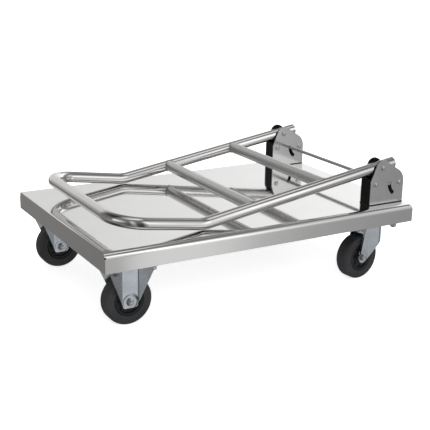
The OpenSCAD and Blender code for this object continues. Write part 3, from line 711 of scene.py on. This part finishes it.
def wheel(side, end, body):
    """A solid tyre with rounded shoulders on a moulded hub."""
    name = f"{end}_{side}"
    at = joint_at(f"wheel_{end}_{side}")
    axis = Vector(joints[f"wheel_{end}_{side}"]["axis"])
    tyre_r, half, shoulder, hub_r = 50.0, 16.0, 7.0, 30.0
    side_prof = [(hub_r + 0.3, 13.6), (hub_r + 0.9, 14.4), (hub_r + 1.9, 15.7), (hub_r + 2.6, 16.0), (38.5, 16.0),
                 (38.9, 15.75), (39.5, 15.75), (39.9, 15.95)]
    side_prof += [(tyre_r - shoulder + shoulder * math.sin(a), half - shoulder + shoulder * math.cos(a))
                  for a in (math.radians(12 + 78 * k / 12) for k in range(13))]
    tread = [(tyre_r, 6.0), (tyre_r, 0.5), (tyre_r - 0.15, 0.35)]
    up = side_prof + tread
    prof = up + [(a, -h) for a, h in up[::-1]]
    Shape().lathe(prof, at, axis, 128).piece(name + "_tread", M["tyre"], body, "tyre", [name + "_tyre"], sharp=30)

    up = [(6.07, 16.8), (9.2, 16.8), (9.8, 16.2), (10.2, 13.2), (13.4, 12.9), (13.9, 14.4), (14.6, 14.6), (16.6, 14.6),
          (17.2, 14.1), (17.6, 11.2), (24.2, 10.6), (25.2, 13.6), (25.9, 14.5), (28.6, 14.5), (29.4, 13.9),
          (29.98, 13.2)]
    prof = up + [(a, -h) for a, h in up[::-1]]
    hub = Shape().lathe(prof, at, axis, 96)
    u = axis.orthogonal().normalized()
    v = axis.cross(u)
    for k in range(8):
        a = 2 * math.pi * k / 8
        d = u * math.cos(a) + v * math.sin(a)
        w = axis.cross(d)
        for sg in (-1, 1):
            rings = []
            for rr, hh in ((16.8, 13.9), (24.9, 12.9)):
                rings.append([at + d * rr + w * x + axis * sg * h
                              for x, h in ((-1.1, 9.5), (-0.8, hh), (0.8, hh), (1.1, 9.5))])
            hub.rings(rings)
    hub.piece(name + "_wheel_hub", M["hub"], body, "hub", [name + "_hub"], sharp=28)


for side in SIDES:
    wheel(side, "front", f"front_{side}_wheel")
    wheel(side, "rear", f"rear_{side}_wheel")


def caster_bolts():
    lo_b, hi_b = box("caster_bolts")
    lo_w = box("caster_washers")[0]
    lo_n, hi_n = box("caster_nuts")
    bolts, washers, nuts = Shape(), Shape(), Shape()
    for end in ("front", "swivel"):
        for side in SIDES:
            c = joint_at(f"wheel_{end}_{side}" if end == "front" else f"{end}_{side}")
            for i in (-1, 1):
                for j in (-1, 1):
                    x, y = c.x + PITCH * i, c.y + PITCH * j
                    head_z = deck_lo.z + 3
                    bolts.hexagon(FLATS, hi_b.z - head_z, Vector((x, y, head_z)), (0, 0, 1), dish=0.5)
                    threaded(bolts, Vector((x, y, head_z)), (0, 0, -1), 4, head_z - lo_b.z)
                    washers.lathe([(4.2, 0.2), (4.4, 0), (7.7, 0), (8, 0.3), (8, 1.3), (7.7, 1.6), (4.4, 1.6),
                                   (4.2, 1.4)], Vector((x, y, lo_w.z)), (0, 0, 1), 40)
                    nuts.hexagon(FLATS, hi_n.z - lo_n.z, Vector((x, y, lo_n.z)), (0, 0, 1), hole=NUT_BORE, both=True,
                                 turn=0.3 * i + 0.5 * j)
    bolts.piece("plate_bolts", M["fastener"], "chassis", "fastener", ["caster_bolts"], sharp=30)
    washers.piece("plate_washers", M["fastener"], "chassis", "fastener", ["caster_washers"], sharp=30)
    nuts.piece("plate_nuts", M["fastener"], "chassis", "fastener", ["caster_nuts"], sharp=30)


caster_bolts()


def caster_plate(s, c, z, pin_hole=0.0):
    holes = [circle(c.x + PITCH * i, c.y + PITCH * j, 4.2, 32) for i in (-1, 1) for j in (-1, 1)]
    if pin_hole:
        holes.append(circle(c.x, c.y, pin_hole))
    s.plate(rounded(c.x - 49.9, c.y - 49.9, c.x + 49.9, c.y + 49.9, 5), holes, TOP_PLATE,
            (0, 0, z + TOP_PLATE / 2), round_by=0.5)


def dimple(x, z, r, depth):
    """How far the metal is pressed in at a point beside the axle."""
    d = math.hypot(x, z)
    t = min(max((r - d) / 2.6 + 0.5, 0), 1)
    return depth * t * t * (3 - 2 * t)


def fixed_fork(side):
    c = joint_at("wheel_front_" + side)
    top = deck_lo.z - TOP_PLATE - c.z
    s = Shape()
    caster_plate(s, c, deck_lo.z - TOP_PLATE)
    flare, bend, edge = math.radians(23), 8.0, 17.0      # the wings: their angle, their bend and where it lies
    t = bend * math.tan(flare / 2)

    def unroll(q):
        """Where a point at a distance along the sheet lies: across the fork, and out from its middle."""
        a = abs(q)
        if a <= edge - t:
            x, out = a, 0.0
        elif a <= edge - t + bend * flare:
            f = (a - edge + t) / bend
            x, out = edge - t + bend * math.sin(f), bend * (1 - math.cos(f))
        else:
            rest = a - (edge - t + bend * flare)
            x = edge - t + bend * math.sin(flare) + rest * math.cos(flare)
            out = bend * (1 - math.cos(flare)) + rest * math.sin(flare)
        return math.copysign(x, q), out

    fixed_q = [0, 2.6, 5.2, 7.8, 10.4, 12.8, 14.6, 15.8, 16.4, 17.0, 17.6, 18.2]
    zs = [-12.5 + 8 * (1 - math.cos(math.radians(90 * k / 6))) for k in range(7)]
    zs += [-4.5 + 2.2 * k for k in range(1, 13)]
    while zs[-1] < top - 4:
        zs.append(zs[-1] + 3.5)
    zs.append(top)
    for out in (-1, 1):
        rows = []
        for z in zs:
            if z < -4.5:
                reach = 9 + math.sqrt(max(64 - (z + 4.5) ** 2, 0))
            else:
                reach = 17 + 36 * (z + 4.5) / (top + 4.5)
            if reach < fixed_q[-1]:
                qs = [q * reach / fixed_q[-1] for q in fixed_q[:-1]]
                qs += [qs[-1] + (reach - qs[-1]) * k / 7 for k in range(1, 8)]
            else:
                qs = fixed_q + [fixed_q[-1] + (reach - fixed_q[-1]) * k / 6 for k in range(1, 7)]
            row = []
            for q in [-v for v in qs[:0:-1]] + qs:
                x, o = unroll(q)
                row.append(Vector((c.x + x, c.y + out * (AXLE_Y + o - dimple(x, z, 15.5, 1.0)), c.z + z)))
            rows.append(row)
        s.skin(rows, LEG_T, side=out)
    s.piece(side + "_fixed_fork_steel", M["fork"], "chassis", "fork", [side + "_fixed_fork"], sharp=35)


def swivel_fork(side):
    axis_at = joint_at("swivel_" + side)
    axle = joint_at("wheel_rear_" + side)
    trail = (axis_at - axle).xy
    yaw = math.atan2(trail.y, trail.x)
    back = trail.length
    lean, foot = math.radians(39.5), 12.0                # slope of the lower edge, and the round of the foot
    toe = (foot * math.sin(lean), -foot * math.cos(lean))
    top = box(side + "_swivel_fork")[1].z - axle.z
    nose = 16.5 + back
    dist = math.hypot(2, top)
    a_back = math.atan2(top, 2) + math.acos(foot / dist)
    tx, tz = foot * math.cos(a_back), foot * math.sin(a_back)

    def low(x):
        return -math.sqrt(max(foot ** 2 - x * x, 0)) if x < toe[0] else toe[1] + (x - toe[0]) * math.tan(lean)

    def high(x):
        if x < tx:
            return math.sqrt(max(foot ** 2 - x * x, 0))
        return tz + (x - tx) * (top - tz) / (2 - tx) if x < 2 else top

    plan = []
    xs = [-11.99, -11.9, -11.77, -11.2, -10.2, -8.6, -6.8, -4.8, -2.4, 0, 1.9, 2.05, 4, 6, 8, 10, 12, 14.5, 17, 21,
          26, 31, 36, 41, nose]
    for x in xs:
        plan.append((x, -AXLE_Y, (0, 1)))
    for k in range(1, 36):
        a = math.radians(-90 + 180 * k / 36)
        plan.append((nose + AXLE_Y * math.cos(a), AXLE_Y * math.sin(a), (-math.cos(a), -math.sin(a))))
    for x in xs[::-1]:
        plan.append((x, AXLE_Y, (0, -1)))
    turn = Matrix.Rotation(yaw, 4, "Z")
    round_r, cols = 4.0, []
    for x, y, inward in plan:
        z0, z1 = low(x), high(x)
        capped = x >= 2
        stop = z1 - round_r if capped else z1
        stop = max(stop, z0)
        col = []
        for k in range(16):
            z = z0 + (stop - z0) * k / 15
            d = dimple(x, z, 12.5, 0.8) if abs(abs(y) - AXLE_Y) < 1e-6 else 0.0
            col.append(Vector((x + inward[0] * d, y + inward[1] * d, z)))
        for k in range(1, 7):
            a = math.radians(15 * k)
            rr = min(round_r, z1 - z0) if capped else 0.0
            pull, rise = rr * (1 - math.cos(a)), rr * math.sin(a)
            col.append(Vector((x + inward[0] * pull, y + inward[1] * pull, stop + rise)))
        cols.append([turn @ p + axle for p in col])
    s = Shape()
    s.skin(cols, LEG_T, side=1)
    r = AXLE_Y - round_r + 0.6
    flat = [(2.2, -r), (nose, -r)] + arc((nose, 0), r, -90, 90, 24)[1:-1] + [(nose, r), (2.2, r)]
    crown = Shape().plate(flat, [circle(back, 0, 5.3)], 3.0, (0, 0, top - 1.5), round_by=0.3)
    for v in crown.verts:
        v.rotate(Matrix.Rotation(yaw, 3, "Z"))
    s.add([v + axle for v in crown.verts], crown.faces)
    s.lathe([(8.2, 0), (18.6, 0), (18.6, 0.8), (17.8, 1.6), (14.0, 1.9), (13.2, 1.2), (8.2, 1.2)],
            Vector((axis_at.x, axis_at.y, axle.z + top - 0.1)), (0, 0, 1), 64)
    s.piece(side + "_swivel_fork_steel", M["fork"], side + "_swivel", "fork", [side + "_swivel_fork"], sharp=35)

    p = Shape()
    caster_plate(p, axis_at, deck_lo.z - TOP_PLATE, 5.2)
    p.lathe([(20.5, 0.4), (23.2, 0.4), (24.2, -0.8), (23.6, -3.0), (21.8, -3.4), (19.6, -3.4), (19.3, -2.6),
             (20.2, -0.6)], Vector((axis_at.x, axis_at.y, deck_lo.z - TOP_PLATE)), (0, 0, 1), 64)
    p.piece(side + "_swivel_top", M["fork"], "chassis", "fork", [side + "_swivel_plate"], sharp=35)


for side in SIDES:
    fixed_fork(side)
    swivel_fork(side)


def axle_ends(side, end, face, sign):
    """A bolt head on one side of a fork, and a flanged nut with the bolt's end on the other."""
    at = joint_at(f"wheel_{end}_{side}")
    axis = Vector(joints[f"wheel_{end}_{side}"]["axis"]).normalized()
    head, nut = Shape(), Shape()
    head.hexagon(FLATS, HEAD, at + axis * face * sign, axis * sign, dish=0.5, turn=0.4)
    head.lathe([(0, -face - 6), (4, -face - 6), (4, face + 0.4), (0, face + 0.4)], at, axis * sign, 32)
    threaded(head, at - axis * sign * face, -axis * sign, 4.0, 7)
    nut.lathe([(4.05, -0.3), (8.2, -0.3), (8.5, 0.3), (8.2, 1.0), (6.9, 1.5), (4.05, 1.5)],
              at - axis * sign * face, -axis * sign, 48)
    nut.hexagon(FLATS, 4.0, at - axis * sign * (face + 1.0), -axis * sign, hole=NUT_BORE, both=True, turn=0.2)
    return head, nut


heads, flanges = Shape(), Shape()
for side in SIDES:
    h, n = axle_ends(side, "front", AXLE_Y - 1, 1)
    heads.add(h.verts, h.faces)
    flanges.add(n.verts, n.faces)
    h, n = axle_ends(side, "rear", AXLE_Y, -1)
    for part, what in ((h, "bolt"), (n, "nut")):
        part.piece(f"{side}_rear_axle_{what}", M["fastener"], side + "_swivel", "fastener",
                   [f"{side}_swivel_axle_{what}"], sharp=30)
heads.piece("front_axle_bolts", M["fastener"], "chassis", "fastener", ["fixed_axle_bolts"], sharp=30)
flanges.piece("front_axle_nuts", M["fastener"], "chassis", "fastener", ["fixed_axle_nuts"], sharp=30)

# ---- the CAD pieces that stay ----

for entry in frame["record"]["subparts"]:
    ob = frame["nodes"][entry["node"]]
    mat = M[entry["material_slot"]]
    if not ob.material_slots:
        ob.data.materials.append(mat)
    for ms in ob.material_slots:
        ms.material = mat

# ---- floor, lights and camera ----

me = bpy.data.meshes.new("floor")
me.from_pydata([(-40, -40, 0), (40, -40, 0), (40, 40, 0), (-40, 40, 0)], [], [[0, 1, 2, 3]])
floor = bpy.data.objects.new("floor", me)
bpy.context.scene.collection.objects.link(floor)
floor_mat, _, _, floor_shader = shader("floor_white", (0.93, 0.93, 0.93), 0.0, 0.9)
floor_shader.inputs["Emission Color"].default_value = (1, 1, 1, 1)
floor_shader.inputs["Emission Strength"].default_value = 0.75
me.materials.append(floor_mat)
floor.visible_glossy = False

world = bpy.data.worlds.new("studio")
bpy.context.scene.world = world
world.use_nodes = True
wn, wl = world.node_tree.nodes, world.node_tree.links
wn.clear()


def world_node(kind, inputs=(), **settings):
    node = wn.new(kind)
    for key, value in settings.items():
        setattr(node, key, value)
    for key, value in inputs:
        if isinstance(value, bpy.types.NodeSocket):
            wl.new(value, node.inputs[key])
        else:
            node.inputs[key].default_value = value
    return node


def tone_ramp(value, stops):
    node = world_node("ShaderNodeValToRGB", [("Fac", value)])
    ends = node.color_ramp.elements
    ends[0].position, ends[1].position = stops[0][0], stops[-1][0]
    ends[0].color, ends[1].color = (*stops[0][1], 1), (*stops[-1][1], 1)
    for pos, tone in stops[1:-1]:
        ends.new(pos).color = (*tone, 1)
    return node.outputs["Color"]


def grey(v, warm=0.0):
    return v, v * (1 - warm), v * (1 - 1.4 * warm)


def spanned(value, low, high, to=(0.0, 1.0)):
    return world_node("ShaderNodeMapRange", [("Value", value), ("From Min", low), ("From Max", high),
                                             ("To Min", to[0]), ("To Max", to[1])]).outputs["Result"]


def times(a, b):
    return world_node("ShaderNodeVectorMath", [(0, a), (1, b)], operation="MULTIPLY").outputs["Vector"]


def by_height(stops):
    return tone_ramp(spanned(way_axes["Z"], -1, 1), [((z + 1) / 2, grey(v)) for z, v in stops])


way = world_node("ShaderNodeTexCoord").outputs["Generated"]
way_axes = world_node("ShaderNodeSeparateXYZ", [("Vector", way)]).outputs
azimuth = world_node("ShaderNodeMath", [(0, way_axes["Y"]), (1, way_axes["X"])], operation="ARCTAN2").outputs["Value"]
facing = world_node("ShaderNodeVectorMath", [(0, way), (1, (0.5, -0.86, 0.0))],
                    operation="DOT_PRODUCT").outputs["Value"]

# the wall behind the cart: white low down, dark above
behind = world_node("ShaderNodeMix", [
    ("Factor", spanned(azimuth, math.radians(60), math.radians(70))),
    ("A", by_height([(-1, 0.2), (0.0, 1.0), (0.37, 0.96), (0.42, 0.5), (0.48, 0.24), (1.0, 0.2)])),
    ("B", by_height([(-1, 0.2), (0.0, 1.0), (0.45, 0.94), (0.58, 0.66), (0.66, 0.35), (0.8, 0.2), (1.0, 0.2)]))],
    data_type="RGBA").outputs["Result"]
# brighter towards the right, and fading out on the far left
behind = times(behind, spanned(azimuth, 1.2, 0.88, (0.8, 1.08)))
behind = times(behind, spanned(azimuth, math.radians(124), math.radians(105), (0.25, 1.0)))
# the camera's side: a bright band along the horizon, broken up round the cart
band = by_height([(-1, 0.25), (-0.7, 0.4), (-0.3, 0.65), (-0.1, 0.72), (0.05, 0.95), (0.2, 1.25), (0.58, 1.2),
                  (0.68, 0.6), (0.78, 0.3), (0.88, 0.2), (1.0, 0.18)])
turns = [(-180, 0.5), (-125, 0.12), (-116, 0.6), (-108, 0.5), (-101, 0.1), (-82, 0.08), (-74, 0.5), (-66, 0.74),
         (-64.4, 1.2), (-60, 1.18), (-57, 0.83), (-54, 0.64), (-51, 0.55), (-48, 0.46), (-42, 0.56), (-36, 0.75),
         (-25, 0.4), (-15, 0.22), (-5, 0.22), (5, 0.7), (15, 1.4), (35, 1.3), (60, 0.7), (90, 0.4), (112, 0.32),
         (150, 0.35), (180, 0.5)]
broken = tone_ramp(spanned(azimuth, -math.pi, math.pi), [((a + 180) / 360, grey(v / 1.5, 0.03 if a > 80 else 0))
                                                         for a, v in turns])
broken = times(broken, (1.5, 1.5, 1.5))
# the least of that side: dim, with a bright patch right overhead
least = by_height([(-1, 0.0), (0.2, 0.0), (0.4, 0.2), (0.895, 0.2), (0.915, 1.0), (1.0, 1.0)])
front = world_node("ShaderNodeVectorMath", [(0, times(band, broken)), (1, least)],
                   operation="MAXIMUM").outputs["Vector"]
share = world_node("ShaderNodeMath", [(0, spanned(way_axes["Z"], -0.04, 0.04)), (1, spanned(facing, 0.25, -0.25))],
                   operation="MULTIPLY").outputs["Value"]
studio = world_node("ShaderNodeMix", [("Factor", share), ("A", front), ("B", behind)],
                    data_type="RGBA").outputs["Result"]
# the camera itself sees plain white round the cart
reflected = world_node("ShaderNodeBackground", [("Color", studio)]).outputs["Background"]
plain = world_node("ShaderNodeBackground", [("Color", (1, 1, 1, 1))]).outputs["Background"]
seen = world_node("ShaderNodeLightPath").outputs["Is Camera Ray"]
mix = world_node("ShaderNodeMixShader", [(0, seen), (1, reflected), (2, plain)])
world_node("ShaderNodeOutputWorld", [("Surface", mix.outputs["Shader"])])


def softbox(name, at, size, power, aim=(0, 0, 0.1)):
    light = bpy.data.lights.new(name, "AREA")
    light.shape, light.size, light.size_y, light.energy = "RECTANGLE", size[0], size[1], power
    ob = bpy.data.objects.new(name, light)
    bpy.context.scene.collection.objects.link(ob)
    ob.location = at
    ob.rotation_euler = (Vector(aim) - Vector(at)).to_track_quat("-Z", "Y").to_euler()
    return ob


for name, at, size, power in (("top_light", (0.4, -0.6, 2.6), (1.8, 1.4), 60),
                              ("key_light", (-1.2, -2.6, 1.6), (1.6, 1.2), 30)):
    softbox(name, at, size, power).visible_glossy = False

cam_data = bpy.data.cameras.new("camera")
cam = bpy.data.objects.new("camera", cam_data)
bpy.context.scene.collection.objects.link(cam)
bpy.context.scene.camera = cam
az, el, roll = math.radians(-30.1676), math.radians(17.205), math.radians(1.0988)
distance, focal_px, frame_px = 2.11864, 940.886, 430
back = Vector((math.sin(az) * math.cos(el), -math.cos(az) * math.cos(el), math.sin(el)))
target = Vector((2.18, 0, 128.05)) * MM
cam.location = target + back * distance
cam_data.sensor_width = 36
cam_data.lens = 36 * focal_px / frame_px
turned = (-back).to_track_quat("-Z", "Y").to_matrix() @ Matrix.Rotation(roll, 3, "Z")
cam.rotation_euler = turned.to_euler()
cam_data.clip_start, cam_data.clip_end = 0.05, 100
bpy.context.scene.view_settings.view_transform = "Standard"
bpy.context.scene.view_settings.look = "None"
